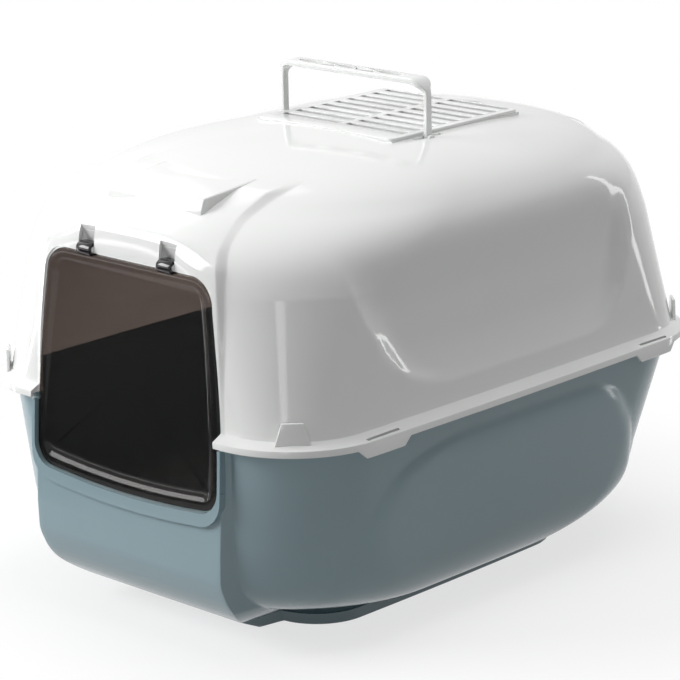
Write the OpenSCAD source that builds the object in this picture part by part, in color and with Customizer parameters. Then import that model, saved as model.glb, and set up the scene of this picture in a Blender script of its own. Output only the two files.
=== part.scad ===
// Hooded litter box: a deep tray, a hood that lifts off it, a see-through swing door
// hung from two pins, a folding carrying handle and a vented cover over a carbon filter.
// +X is the right side seen from the door, -Y the door side, +Z up, z = 0 the floor.

/* [Overall] */
// Width across the hood's flange, at mid length
body_w = 396; // [360:1:430]
// Length across the hood's flange
body_l = 525; // [480:1:570]
// Height of the flange's lower edge above the floor
rim_z = 175; // [165:1:190]
// Height of the roof's crown above the floor
roof_z = 370; // [355:1:390]
// Wall of both mouldings
wall = 2.6; // [2.2:0.1:3.2]

/* [Flange] */
// Corner radius of the flange, seen from above
rim_r = 82; // [70:1:90]
// Height of the flange's skirt
skirt_h = 5.5; // [4.5:0.5:7]
// Rise of the flange from its skirt to the hood's wall
flange_rise = 3.5; // [2.5:0.5:5]
// Width of the flange at the sides
flange_w = 11.5; // [9:0.5:13]
// How far the skirt hangs lower at each snap tab
tab_drop = 7; // [4:0.5:9]
// Distance of the snap slots from the middle of the box
slot_y = 168; // [150:1:172]
// Length of a snap slot
slot_l = 36; // [24:1:40]
// Width of a snap slot
slot_w = 2.4; // [1.8:0.2:2.6]

/* [Spine and cheeks] */
// Half width of the raised middle band at the walls
spine_x = 107; // [106.5:0.5:112]
// Width of the slope from the middle band down to a cheek
step_w = 2; // [1.5:0.5:4]
// Depth of the scoop in each of the hood's cheeks
scoop_d = 7; // [3:0.5:9]
// Height of the raised field on each of the tray's cheeks
field_h = 5; // [2:0.5:7]

/* [Door] */
// Height of the hinge axis
hinge_z = 304.5; // [300:0.5:308]
// Half distance between the two door clips
clip_x = 45.4; // [38:0.2:54]
// Widest half width of the door
door_x = 103; // [98:0.5:103]
// Half width of the door at its top
door_top_x = 93; // [86:0.5:95]
// Height of the door
door_h = 185.5; // [170:0.5:188]
// Thickness of the door
door_t = 2.4; // [2:0.1:3]
// Depth to which the pane lies behind its border
pane_d = 3; // [2:0.25:4]
// Gap round the door
door_gap = 1.4; // [1:0.1:2]
// Diameter of the hinge pins
pin_d = 5; // [4:0.1:5.6]
// Radial clearance of a clip on its pin
pin_clear = 0.08; // [0.05:0.01:0.1]
// Width of a door clip
clip_w = 14.6; // [10:0.2:16]

/* [Handle] */
// Distance between the middles of the handle's legs
handle_w = 161; // [158:1:180]
// Height of the handle above its pivots
handle_h = 50; // [40:1:60]
// Thickness of the handle's legs across the box
leg_t = 4; // [3:0.5:5]
// Depth of the handle's legs along the box
leg_d = 6.5; // [5:0.5:8]
// Width of the grip
grip_w = 18; // [14:1:24]
// Diameter of the handle's pivots
pivot_d = 5; // [4:0.2:6]

/* [Filter] */
// Width of the filter cover
cover_w = 152; // [140:1:152]
// Length of the filter cover
cover_l = 158; // [140:1:165]
// Distance of the cover's front edge behind the middle of the box
cover_y = -26; // [-30:1:-20]
// Thickness of the cover's plate
cover_t = 2.4; // [2:0.2:3]
// Rows of slots in the cover
slot_rows = 9; // [6:1:9]
// Pitch of the rows
row_pitch = 15.9; // [14:0.1:16.2]
// Width of one slot
row_w = 7; // [4:0.5:9]
// Thickness of the carbon filter
pad_t = 8; // [4:0.5:8]

/* [Hidden] */

BLUE = [0.55, 0.64, 0.67];
WHITE = [0.93, 0.94, 0.93];
SMOKE = [0.16, 0.13, 0.12, 0.85];
CARBON = [0.13, 0.13, 0.14];

round_n = 36;                      // sides of a pin, bore or boss

function clamp(v, lo, hi) = min(hi, max(lo, v));
function mix(p, q, t) = p + (q - p) * t;
function smooth(e0, e1, v) = let (t = clamp((v - e0) / (e1 - e0), 0, 1)) t * t * (3 - 2 * t);
// The section of a crisp-edged recess: rises at once from 0 at t = 0 and eases into 1 at t = 1
function ramp(t) = 1 - pow(1 - clamp(t, 0, 1), 2);
// A quarter of a squarish oval: 1 at t = 0 falling to 0 at t = 1
function shoulder(t, m, n) = pow(max(0, 1 - pow(clamp(t, 0, 1), m)), 1 / n);

// ---- plan outlines ------------------------------------------------------------
bow = 0.021;                       // outward bow of the long sides
spine_f = [0, 0.55, 1];            // columns across half the middle band
front_n = 5;                       // columns from the band to a corner's middle
// columns down a side, from a corner's middle to mid length; a snap tab spans the second
// to the sixth, with its slot's middle at the fourth
tab_a = slot_y + slot_l / 2 + 10;
tab_b = slot_y - slot_l / 2 - 9;
turn_y = body_l / 2 - 0.293 * rim_r;
side_f = [0.93, tab_a / turn_y, (tab_a - 8) / turn_y, slot_y / turn_y, (tab_b + 8) / turn_y, tab_b / turn_y,
          0.5, 0.3, 0];

// x pushed out by the bow of the long sides
function bowed(x, y, b) = x * (1 + bow * (1 - pow(y / b, 2)));

// One quarter of a level: x, y both positive, from the middle band round to mid length.
// a, b: half width and length; r: corner radius; xs, s: the band's half width and reach.
function quarter(a, b, r0, xs0, s) =
    let (r = min(r0, 0.93 * a, 0.93 * b), xs = min(xs0, 0.5 * a),
         xc = xs + step_w, xm = a - 0.293 * r, ym = b - 0.293 * r)
    concat([for (f = spine_f) [xs * f, s]],
           [for (i = [0:front_n])
               let (x = mix(xc, xm, i / front_n), y = b - r + sqrt(r * r - pow(max(0, x - (a - r)), 2)))
               [bowed(x, y, b), y]],
           [for (f = side_f)
               let (y = ym * f, x = a - r + sqrt(r * r - pow(max(0, y - (b - r)), 2)))
               [bowed(x, y, b), y]]);

// A whole level, counter-clockwise from above, starting at the middle of the front.
// v = [a, front b, rear b, r, xs, front reach, rear reach, z]
function level(v) =
    let (qf = quarter(v[0], v[1], v[3], v[4], v[5]), qr = quarter(v[0], v[2], v[3], v[4], v[6]), n = len(qf))
    concat([for (i = [0:n - 1]) [qf[i][0], -qf[i][1], v[7]]],
           [for (i = [n - 2:-1:0]) [qr[i][0], qr[i][1], v[7]]],
           [for (i = [1:n - 1]) [-qr[i][0], qr[i][1], v[7]]],
           [for (i = [n - 2:-1:1]) [-qf[i][0], -qf[i][1], v[7]]]);

// A closed skin from one pole through all the levels to the other pole
module skin(pole_1, levels, pole_2) {
    m = len(levels[0]);
    k = len(levels);
    points = concat([pole_1], [for (l = levels) each l], [pole_2]);
    faces = concat(
        [for (j = [0:m - 1]) [0, 1 + (j + 1) % m, 1 + j]],
        [for (i = [0:k - 2], j = [0:m - 1]) let (p = 1 + i * m, q = p + m, h = (j + 1) % m)
            each [[p + j, p + h, q + h], [p + j, q + h, q + j]]],
        [for (j = [0:m - 1]) let (p = 1 + (k - 1) * m) [p + j, p + (j + 1) % m, 1 + k * m]]);
    polyhedron(points, faces);
}

// ---- the hood's form ------------------------------------------------------------
root_z = rim_z + skirt_h + flange_rise;
hood_a = body_w / 2 / (1 + bow) - flange_w;
hood_b = body_l / 2 - flange_w + 1;
turn_z = root_z + 0.565 * (roof_z - root_z);   // where the walls start to turn into the roof
flange_under = rim_z + 3;

// Reach of the middle band's front beyond the cheeks' half length, up the wall and the roof
wall_reach = [[0, 3.5], [0.3, 2.4], [0.6, 0.8], [1, -3.3]];
roof_reach = [[0, -3.3], [0.36, -4.5], [0.44, -6], [0.53, -14], [0.636, -32], [0.73, -52],
              [0.8, -71], [0.85, -84], [0.88, -101]];
band_narrow = [[0.36, 0], [0.44, 3], [0.54, 9], [0.63, 17], [0.72, 23], [0.85, 25]];

// A level of the hood at height z, moved inwards by off
function hood_level(z, off) =
    let (top = roof_z - off, k = clamp((z - root_z) / (turn_z - root_z), 0, 1),
         t = clamp((z - turn_z) / (top - turn_z), 0, 1),
         bf = (mix(hood_b, hood_b - 4.5, k) - off) * shoulder(t, 2.9, 2.15),
         br = (mix(hood_b, hood_b - 11, k) - off) * shoulder(t, 4.8, 3.6),
         reach = t > 0.88 ? bf : hood_b - off + lookup(t > 0 ? t : k, t > 0 ? roof_reach : wall_reach))
    [(hood_a + 0.5 * k - off) * shoulder(t, 3.9, 2.4), bf, br, 69 + 43 * k + 64 * t - off,
     spine_x - off * 0.8 - lookup(t, band_narrow), reach, br + 4 * (1 - smooth(0.7, 0.9, t)), z];

// The scoop's front edge: [share of the wall's height, mm behind the flange's front]
scoop_edge = [[0.19, 164.5], [0.25, 149.5], [0.36, 125.5], [0.58, 103.5], [0.84, 87.5], [1.19, 77.5], [1.39, 74.5]];
// How far a point of the cheek lies in the scoop, 0 to 1
function scoop(x, y, z) =
    let (h = (z - root_z) / (turn_z - root_z), y0 = lookup(h, scoop_edge) - body_l / 2, y1 = 0.27 * body_l)
    abs(x) < 60 ? 0 : ramp((h - 0.18) / 0.38) * (1 - smooth(0.8, 1.4, h)) * ramp((y - y0) / 30) * ramp((y1 - y) / 20);
function scooped(l) = [for (p = l) [p[0] - sign(p[0]) * scoop_d * scoop(p[0], p[1], p[2]), p[1], p[2]]];

wall_f = [0.09, 0.18, 0.25, 0.33, 0.45, 0.65, 0.85, 1];
roof_f = [0.18, 0.3, 0.39, 0.46, 0.53, 0.6, 0.67, 0.74, 0.81, 0.87, 0.92, 0.96, 0.985];
inner_wall_f = [0.18, 0.33, 0.65, 1];
inner_roof_f = [0.2, 0.42, 0.6, 0.75, 0.87, 0.95];

// The flange's outline at height z, moved inwards by off
function rim_level(z, off) =
    let (b = body_l / 2 - off) [body_w / 2 / (1 + bow) - off, b, b, rim_r - off, spine_x, b, b, z];
// The skirt's lower edge, hanging lower at the snap tabs
function tabbed(l) = [for (p = l) let (y = abs(p[1]))
    [p[0], p[1], p[2] - (abs(p[0]) > 150 && y > tab_b + 2 && y < tab_a - 2 ? tab_drop : 0)]];

hood_levels = concat(
    [for (i = [len(roof_f) - 1:-1:0]) scooped(level(hood_level(mix(turn_z, roof_z, roof_f[i]), 0)))],
    [for (i = [len(wall_f) - 1:-1:0]) scooped(level(hood_level(mix(root_z, turn_z, wall_f[i]), 0)))],
    [level(hood_level(root_z, 0)), level(rim_level(rim_z + skirt_h, 0)), tabbed(level(rim_level(rim_z, 0))),
     tabbed(level(rim_level(rim_z, 2.4))), level(rim_level(flange_under, 2.4)),
     level(concat([for (i = [0:6]) hood_level(root_z, wall)[i]], flange_under))],
    [for (f = inner_wall_f) scooped(level(hood_level(mix(root_z, turn_z, f), wall)))],
    [for (f = inner_roof_f) scooped(level(hood_level(mix(turn_z, roof_z - wall, f), wall)))]);

// ---- the door's form ------------------------------------------------------------
door_tilt = 3.43;                     // the door hangs a little outwards at the bottom
pin_y = hood_b - 4.5;
door_v = 3.5;                         // top edge of the door below the hinge axis
border = 7;
bevel = 11;
clip_d = 11;
pocket_w = clip_w + 2.9;

// Half of the door's outline moved inwards by d, from the middle of the bottom round to the
// middle of the top; y = 0 is the hinge axis
function door_half(d) =
    let (lo = -door_v - door_h, rb = 19, rt = 22, xb = door_x + 0.5 - rb, yb = lo + 4.4 + rb,
         xt = door_top_x + 0.5 - rt, yt = -door_v - rt)
    concat([for (x = [0, 40]) [x, lo + d + 3.5 * pow(x / 75, 2)]],
           [for (a = [-84:14:0]) [xb + (rb - d) * cos(a), yb + (rb - d) * sin(a)]],
           [for (f = [0.2:0.2:0.8]) [mix(xb + rb, xt + rt, f * f) - d, mix(yb, yt, f)]],
           [for (a = [8:16.4:90]) [xt + (rt - d) * cos(a), yt + (rt - d) * sin(a)]],
           [[0, -door_v - d]]);
function door_ring(d) = let (h = door_half(d), n = len(h)) concat(h, [for (i = [n - 2:-1:1]) [-h[i][0], h[i][1]]]);
function door_level(d, z) = [for (p = door_ring(d)) [p[0], p[1], z]];

// Carries children into the door's plane: x across, y up the door, z outwards, 0 at the pins
module at_door() {
    translate([0, -pin_y, hinge_z]) rotate([90 - door_tilt, 0, 0]) children();
}
module door_cut() {
    at_door() translate([0, 0, -28]) linear_extrude(60) polygon(door_ring(-door_gap));
}

module door_panel() {
    mid = -door_v - door_h / 2;
    color(SMOKE) at_door()
        skin([0, mid, -pane_d],
             [door_level(border + bevel, -pane_d), door_level(border, 0), door_level(0.5, 0),
              door_level(0, -0.5), door_level(0, -door_t), door_level(border, -door_t),
              door_level(border + bevel, -door_t - pane_d)],
             [0, mid, -door_t - pane_d]);
}

// A clip that hooks over its pin, with a flat tab on top and a slit behind
module door_clip(x) {
    tab_l = 6.2;
    slit = 3.6;
    color(SMOKE) at_door() translate([x, 0, 0]) difference() {
        union() {
            rotate([0, 90, 0]) cylinder(d = clip_d, h = clip_w, center = true, $fn = round_n);
            translate([-clip_w / 2, clip_d / 2 - 2, -tab_l]) cube([clip_w, 2, tab_l]);
        }
        rotate([0, 90, 0]) cylinder(d = pin_d + 2 * pin_clear, h = clip_w + 2, center = true, $fn = round_n);
        translate([-clip_w, -slit / 2, -tab_l - 2]) cube([2 * clip_w, slit, tab_l + 2]);
        translate([-clip_w, -door_v - clip_d, -door_t]) cube([2 * clip_w, clip_d, door_t]);
    }
}
module hinge_pin(x) {
    color(WHITE) translate([x, -pin_y, hinge_z]) rotate([0, 90, 0])
        cylinder(d = pin_d, h = pocket_w, center = true, $fn = round_n);
}

// An outline in the plane of y and z, w wide, with its middle at x = 0
module across(w, points) {
    translate([-w / 2, 0, 0]) rotate([90, 0, 90]) linear_extrude(w) polygon(points);
}

// Behind the hood's front wall: the moulded housing of a pin's pocket, and the pocket
pocket_back = 9.5;
pocket_top = 21.5;
ear = 2.6;
// The middle of the front wall, behind the pins, at height z above them
function wall_y(z) = pin_y - hood_level(hinge_z + z, 0)[5] + wall / 2;
module pin_housing() {
    across(pocket_w + 9, [[wall_y(-5), -5], [ear, -5], [ear, 2.9], [pocket_back + ear, 2.9],
                          [pocket_back + ear, 4], [wall_y(pocket_top + 2), pocket_top + 2],
                          [wall_y(pocket_top - 1), pocket_top - 1]]);
}
module pin_pocket() {
    across(pocket_w, [[-14, -6], [pocket_back, -6], [pocket_back, 2], [1, pocket_top], [-14, pocket_top]]);
}

// ---- what stands on the hood ---------------------------------------------------------
fit = 0.3;                            // gap round a part that lifts out
seat_z = roof_z - 1.8;                // seat of the filter cover
seat_w = 6;
cover_x = cover_w / 2;
cover_back = cover_y + cover_l;
well_x = cover_x - seat_w;
well_front = cover_y + 3 * seat_w;
well_back = cover_back - 1.5;
well_z = seat_z - 10.5;
ledge = 4;
grate_t = 2;

pivot_y = 12.3;
pivot_z = roof_z - 5.5;
pivot_ear = 4.4;
pivot_pocket = 16.5;
leg_gap = 0.5;
leg_x = handle_w / 2;

// Raised frame that carries the filter cover
module filter_frame() {
    translate([-cover_x - fit, cover_y - fit, well_z - 3])
        cube([cover_w + 2 * fit, cover_l + 2 * fit, seat_z - well_z + 3]);
}
module filter_well() {
    translate([-cover_x - fit, cover_y - fit, seat_z]) cube([cover_w + 2 * fit, cover_l + 2 * fit, 20]);
    translate([-well_x, well_front, well_z]) cube([2 * well_x, well_back - well_front, 30]);
    translate([ledge - well_x, well_front + ledge, well_z - 10])
        cube([2 * (well_x - ledge), well_back - well_front - 2 * ledge, 30]);
}

// Housing of a handle foot: a block under the roof with an ear on each side of the leg
module foot_housing() {
    w = leg_t / 2 + leg_gap;
    translate([well_x - leg_x, -pivot_pocket - 3, pivot_z - 8])
        cube([leg_x - well_x + w + 4, 2 * pivot_pocket + 6, 9]);
    translate([-w - 1.7, 0, pivot_z]) rotate([0, 90, 0]) cylinder(r = pivot_ear, h = 2 * w + 5.2, $fn = round_n);
}
module foot_pocket() {
    w = leg_t / 2 + leg_gap;
    translate([-w, -pivot_pocket, pivot_z - 5]) cube([2 * w, 2 * pivot_pocket, 20]);
    translate([-w - 3.2, 0, pivot_z]) rotate([0, 90, 0])
        cylinder(d = pivot_d + 2 * pin_clear, h = 2 * w + 6.4, $fn = round_n);
}

// The front field's outline: [mm behind the flange's front, share of the roof's rise]
field_line = [[42.5, 0.555], [42.5, 0.635], [52.5, 0.765], [112.5, 0.87], [112.5, 0.753]];
// Raised field in front of the cover and the small ridge behind it
module roof_fields() {
    across(112, [for (p = field_line) [p[0] - body_l / 2, mix(turn_z, roof_z, p[1])]]);
    across(32, [[cover_back + 1, seat_z - 6], [cover_back + 1, roof_z + 0.4],
                [cover_back + 41, roof_z - 6.5], [cover_back + 41, roof_z - 9]]);
}

// Upright plate at a corner of the flange
lug_h = 26;
lug_t = 2.5;
module lug() {
    d = 0.707 * (rim_r - 7.8);
    translate([body_w / 2 / (1 + bow) - rim_r + d, body_l / 2 - rim_r + d, rim_z + skirt_h + 0.5])
        rotate([90, 0, 135]) translate([0, 0, -lug_t / 2])
            linear_extrude(lug_t) polygon([[-20, 0], [20, 0], [12, lug_h], [-12, lug_h]]);
}

slot_x = (body_w / 2 / (1 + bow) - 2.4) * (1 + bow * (1 - pow(2 * slot_y / body_l, 2))) - slot_w - 0.2;

module hood() {
    color(WHITE) difference() {
        union() {
            skin([0, 0, roof_z], hood_levels, [0, 0, roof_z - wall]);
            filter_frame();
            roof_fields();
            for (x = [-1, 1]) {
                translate([x * clip_x, -pin_y, hinge_z]) pin_housing();
                mirror([x < 0 ? 1 : 0, 0, 0]) translate([leg_x, pivot_y, 0]) foot_housing();
                for (y = [0, 1]) mirror([x < 0 ? 1 : 0, 0, 0]) mirror([0, y, 0]) lug();
            }
        }
        door_cut();
        filter_well();
        for (x = [-1, 1]) {
            translate([x * clip_x, -pin_y, hinge_z]) pin_pocket();
            mirror([x < 0 ? 1 : 0, 0, 0]) translate([leg_x, pivot_y, 0]) foot_pocket();
            for (y = [0, 1]) mirror([x < 0 ? 1 : 0, 0, 0]) mirror([0, y, 0])
                translate([slot_x, slot_y - slot_l / 2, rim_z]) cube([slot_w, slot_l, 20]);
        }
    }
}

module filter_grate() {
    w = 2 * (well_x - fit);
    l = well_back - well_front - 2 * fit;
    color(WHITE) translate([0, well_front + fit, well_z]) linear_extrude(grate_t) difference() {
        translate([-w / 2, 0]) square([w, l]);
        for (i = [0:7], x = [-1, 1])
            translate([x * w / 4 - 0.21 * w, l * (i + 0.5) / 8 - 5]) square([0.42 * w, 10]);
    }
}
module carbon_filter() {
    color(CARBON) translate([-well_x + 1, well_front + 1, well_z + grate_t])
        cube([2 * well_x - 2, well_back - well_front - 2, pad_t]);
}
// A rounded oblong, with a point every so many degrees round its corners
module rounded(x0, y0, x1, y1, r, turn = 15) {
    polygon([for (c = [[x1, y1, 0], [x0, y1, 90], [x0, y0, 180], [x1, y0, 270]], a = [0:turn:90])
        [c[0] + (c[0] > (x0 + x1) / 2 ? -r : r) + r * cos(a + c[2]),
         c[1] + (c[1] > (y0 + y1) / 2 ? -r : r) + r * sin(a + c[2])]]);
}
module filter_cover() {
    slot_in = 3.5;
    color(WHITE) translate([0, 0, seat_z]) linear_extrude(cover_t) difference() {
        rounded(-cover_x, cover_y, cover_x, cover_back, 5);
        for (i = [0:slot_rows - 1], x = [-1, 1])
            let (y = cover_back - 5.4 - i * row_pitch, x0 = x > 0 ? slot_in : 7.3 - cover_x)
                rounded(x0, y - row_w / 2, x0 + cover_x - 7.3 - slot_in, y + row_w / 2, 1.5, 45);
    }
}

// The carrying handle: a bow of strap with an open grip
handle_r = 15;
grip_t = 5;
grip_cells = 3;
module handle() {
    x1 = leg_x + leg_t / 2;
    x0 = leg_x - leg_t / 2;
    low = -leg_d / 2;
    cell = 2 * (x0 - 8) / grip_cells;
    color(WHITE) translate([0, pivot_y, pivot_z]) union() {
        difference() {
            rotate([90, 0, 0]) translate([0, 0, -grip_w / 2]) linear_extrude(grip_w) difference() {
                union() {
                    rounded(-x1, handle_h - 2 * handle_r, x1, handle_h, handle_r);
                    for (x = [-x1, x0]) translate([x, 0]) square([leg_t, handle_h - handle_r]);
                }
                union() {
                    rounded(-x0, handle_h - 2 * handle_r + 4, x0, handle_h - grip_t, handle_r - grip_t);
                    translate([-x0, -1]) square([2 * x0, handle_h - handle_r - 4]);
                }
            }
            for (y = [-1, 1])
                across(2 * x1 + 2, [[y * leg_d / 2, -1], [y * leg_d / 2, handle_h - handle_r - 1],
                                    [y * (leg_d + 2.5) / 2, handle_h - 9], [y * (grip_w / 2 - 1.5), handle_h - grip_t],
                                    [y * grip_w / 2, handle_h - 2.5], [y * (grip_w / 2 + 2), handle_h - 2.5],
                                    [y * (grip_w / 2 + 2), -1]]);
            for (i = [0:grip_cells - 1])
                translate([(i - (grip_cells - 1) / 2) * cell, 0, handle_h - grip_t - 1]) linear_extrude(grip_t + 2)
                    rounded(-cell / 2 + 3, 3.2 - grip_w / 2, cell / 2 - 3, grip_w / 2 - 3.2, 5.5, 30);
        }
        for (x = [-leg_x, leg_x]) translate([x, 0, 0]) rotate([0, 90, 0]) {
            cylinder(d = leg_d, h = leg_t, center = true, $fn = round_n);
            cylinder(d = pivot_d, h = leg_t + 2 * leg_gap + 5.6, center = true, $fn = round_n);
        }
    }
}

// ---- the tray's form ------------------------------------------------------------
tray_top = flange_under - 0.3;
tray_b = body_l / 2 - 13.5;
belly_z = 0.5 * rim_z;                // below this the walls turn in to the floor
belly_a = hood_a - 3.8;               // half width, front and rear half length of the walls there
belly_b = tray_b + 4.7;
belly_rear = tray_b - 21;
plinth_h = 10;
// The middle band's front behind the flange's front: [share of belly_z or of the wall, mm]
band_low = [[0, 76.5], [0.05, 66.5], [0.115, 55.5], [0.23, 37.5], [0.39, 19.5], [0.57, 8.5], [0.77, 3], [1, 3]];
band_high = [[0, 3], [0.3, 4.5], [0.6, 6], [1, 8]];
// The band's rear behind the cheeks' rear
rear_low = [[0, 20], [0.12, 30], [0.23, 22], [0.39, 14], [0.57, 9], [0.8, 6], [1, 5]];

// A level of the tray at height z, moved inwards by off
function tray_level(z, off) =
    let (k = clamp((z - belly_z) / (tray_top - belly_z), 0, 1), t = clamp((belly_z - z + off) / belly_z, 0, 0.999),
         t0 = clamp((belly_z - z) / belly_z, 0, 1),
         br = (mix(belly_rear, tray_b, k) - off) * shoulder(t, 2.6, 2.15))
    [(mix(belly_a, hood_a + 1.5, k) - off) * shoulder(t, 3.8, 2.28),
     (mix(belly_b, tray_b, k) - off) * shoulder(t, 3.74, 2.24), br, 102 - 28 * k + 42 * t - off,
     spine_x - off * 0.8 - 3 * t,
     body_l / 2 - off - (t0 > 0 ? lookup(1 - t, band_low) : lookup(k, band_high)),
     br + (t0 > 0 ? lookup(1 - t, rear_low) : 5), z];
function plinth_level(z, off) =
    let (w = body_w / 2 - off, l = body_l / 2 - off)
    [w - 80 + z / 8, l - 98.5 + z / 4, l - 112.5, 46 - off, spine_x - 7 - off, l - 76.5 + 2.1 * z, l - 90.5 + z, z];

// The raised field's front edge: [share of the rim's height, mm behind the flange's front]
field_edge = [[0.35, 66], [0.47, 74.5], [0.63, 91.5], [0.78, 115.5], [0.84, 134.5], [0.87, 150.5], [0.9, 182]];
// How far a point of the cheek lies on the tray's raised field, 0 to 1
function field(x, y, z) =
    let (h = z / rim_z, y0 = lookup(h, field_edge) - body_l / 2, y1 = 0.27 * body_l)
    abs(x) < 60 ? 0 : ramp((0.915 - h) / 0.14) * smooth(0.09, 0.54, h) * ramp((y - y0) / 24)
        * ramp((y1 + 27 * (1 - h) - y) / 22);
function fielded(l) = [for (p = l) [p[0] + sign(p[0]) * field_h * field(p[0], p[1], p[2]), p[1], p[2]]];

low_f = [0.13, 0.18, 0.25, 0.34, 0.45, 0.6, 0.8, 1];
high_f = [0.2, 0.4, 0.55, 0.65, 0.75, 0.9];
tray_in_f = [0.15, 0.25, 0.45, 0.7, 1];

tray_levels = concat(
    [level(plinth_level(3, wall)), level(plinth_level(plinth_h, wall))],
    [for (f = tray_in_f) level(tray_level(belly_z * f + 2, wall))],
    [level(tray_level(mix(belly_z, tray_top, 0.5), wall)), level(tray_level(tray_top, wall)),
     level(rim_level(tray_top, 5.5)), level(rim_level(tray_top - 3, 5.5)), level(tray_level(tray_top - 3.2, 0))],
    [for (i = [len(high_f) - 1:-1:0]) fielded(level(tray_level(mix(belly_z, tray_top, high_f[i]), 0)))],
    [for (i = [len(low_f) - 1:-1:0]) fielded(level(tray_level(belly_z * low_f[i], 0)))],
    [level(plinth_level(plinth_h, 0)), level(plinth_level(0, 0))]);

// Raised lip round the entry: a broad band below the door, thin strips up its sides
lip_w = 10.5;
strip_w = 3;
lip_out = 2.9;
module entry_lip() {
    top = rim_z - 3 - hinge_z;
    at_door() translate([0, 0, -3.4]) linear_extrude(3.4 + lip_out) difference() {
        union() {
            polygon(door_ring(-door_gap - strip_w));
            translate([0, strip_w - lip_w]) polygon(door_ring(-door_gap - strip_w));
        }
        translate([-body_w, top]) square([2 * body_w, roof_z]);
    }
}
// Snap noses under the rim, one for each tab of the hood's skirt
module snap_nose() {
    w = 9;
    translate([slot_x + slot_w - 0.7 - w, slot_y - slot_l / 2 + 5, rim_z - 7]) cube([w, slot_l - 10, 4.6]);
}
module tray() {
    color(BLUE) difference() {
        union() {
            skin([0, 0, 3], tray_levels, [0, 0, 0]);
            entry_lip();
            for (x = [0, 1], y = [0, 1]) mirror([x, 0, 0]) mirror([0, y, 0]) snap_nose();
        }
        door_cut();
    }
}

tray();
hood();
hinge_pin(-clip_x);  // hinge_pin_left
hinge_pin(clip_x);  // hinge_pin_right
door_panel();
door_clip(-clip_x);  // door_clip_left
door_clip(clip_x);  // door_clip_right
handle();
filter_cover();
carbon_filter();
filter_grate();
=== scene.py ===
"""A hooded litter box: blue-grey tray, white hood, smoked swing door, bow handle, vented filter cover."""

import math

import bmesh
import bpy
import numpy as np
from mathutils import Matrix, Vector


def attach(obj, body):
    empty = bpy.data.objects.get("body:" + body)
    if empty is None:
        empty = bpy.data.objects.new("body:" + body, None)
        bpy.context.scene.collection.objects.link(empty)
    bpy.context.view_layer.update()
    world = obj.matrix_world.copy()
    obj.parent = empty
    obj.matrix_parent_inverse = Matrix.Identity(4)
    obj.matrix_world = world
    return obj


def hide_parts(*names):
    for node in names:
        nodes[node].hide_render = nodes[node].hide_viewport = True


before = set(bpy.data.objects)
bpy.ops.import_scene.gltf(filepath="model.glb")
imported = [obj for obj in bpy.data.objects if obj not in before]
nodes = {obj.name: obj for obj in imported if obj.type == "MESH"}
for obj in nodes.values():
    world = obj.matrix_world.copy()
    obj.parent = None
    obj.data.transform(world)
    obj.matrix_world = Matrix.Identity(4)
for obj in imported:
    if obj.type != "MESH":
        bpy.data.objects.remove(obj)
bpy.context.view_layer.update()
scene = bpy.context.scene
bpy.ops.object.select_all(action="DESELECT")

# ---- Camera ----------------------------------------------------------------
# A long lens a little above the roof, looking at the door's corner of the box.
mm = 0.001
turn, height, roll = math.radians(43.443), math.radians(15.832), math.radians(1.069)
distance, focal_length, sensor = 2401.163, 150.477, 36
aim = Vector((-9.947, 0, 182.363)) * mm
back = Vector((math.sin(turn) * math.cos(height), -math.cos(turn) * math.cos(height), math.sin(height)))
right = Vector((math.cos(turn), math.sin(turn), 0))
up = back.cross(right)
right, up = (math.cos(roll) * right - math.sin(roll) * up, math.sin(roll) * right + math.cos(roll) * up)
camera = bpy.data.objects.new("camera", bpy.data.cameras.new("camera"))
camera.data.lens = focal_length
camera.data.sensor_width = sensor
camera.data.clip_end = 60
stand = Matrix.Translation(aim + back * distance * mm)
camera.matrix_world = stand @ Matrix((right, up, back)).transposed().to_4x4()
scene.collection.objects.link(camera)
scene.camera = camera

# ---- Hood ------------------------------------------------------------------
# One moulding in glossy white polypropylene, 2.6 mm thick. Its wall is a stack of rounded
# rectangles; a broad middle band stands proud of the cheeks, and each cheek has a scoop.
body_w, body_l, rim_z, roof_z, wall = 396, 525, 175, 370, 2.6
skirt_h, flange_rise, flange_w, rim_r, bow = 5.5, 3.5, 11.5, 82, 0.021
spine_x, scoop_d = 107, 7
rim_a = body_w / 2 / (1 + bow)
root_z = rim_z + skirt_h + flange_rise
hood_a, hood_b = rim_a - flange_w, body_l / 2 - flange_w + 1
turn_z = root_z + 0.565 * (roof_z - root_z)
tab_a, tab_b, tab_drop = 196, 141, 7


def smooth(low, high, v):
    """0 below low, 1 above high, and an even S between them."""
    t = np.clip((v - low) / (high - low), 0, 1)
    return t * t * (3 - 2 * t)


def through(points, v):
    """A smooth curve through given points, with no overshoot."""
    x, y = np.array(points, float).T
    h, s = np.diff(x), np.diff(y) / np.diff(x)
    rising = s[:-1] * s[1:] > 0
    inner = np.where(rising, 2 * s[:-1] * s[1:] / np.where(rising, s[:-1] + s[1:], 1), 0)
    m = np.concatenate([s[:1], inner, s[-1:]])
    i = np.clip(np.searchsorted(x, v) - 1, 0, len(h) - 1)
    t = np.clip((v - x[i]) / h[i], 0, 1)
    blend = t * t * (3 - 2 * t)
    return (y[i] * (1 - blend) + y[i + 1] * blend
            + h[i] * (m[i] * t * (1 - t) ** 2 - m[i + 1] * t * t * (1 - t)))


step_line = [[-0.25, 0], [-0.1, 0.01], [0.1, 0.11], [0.5, 0.5], [0.9, 0.89], [1.1, 0.99], [1.25, 1]]


def shoulder(t, m, n):
    """A quarter of a squarish oval: 1 at t = 0, falling to 0 at t = 1."""
    return max(0, 1 - min(max(t, 0), 1) ** m) ** (1 / n)


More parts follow.
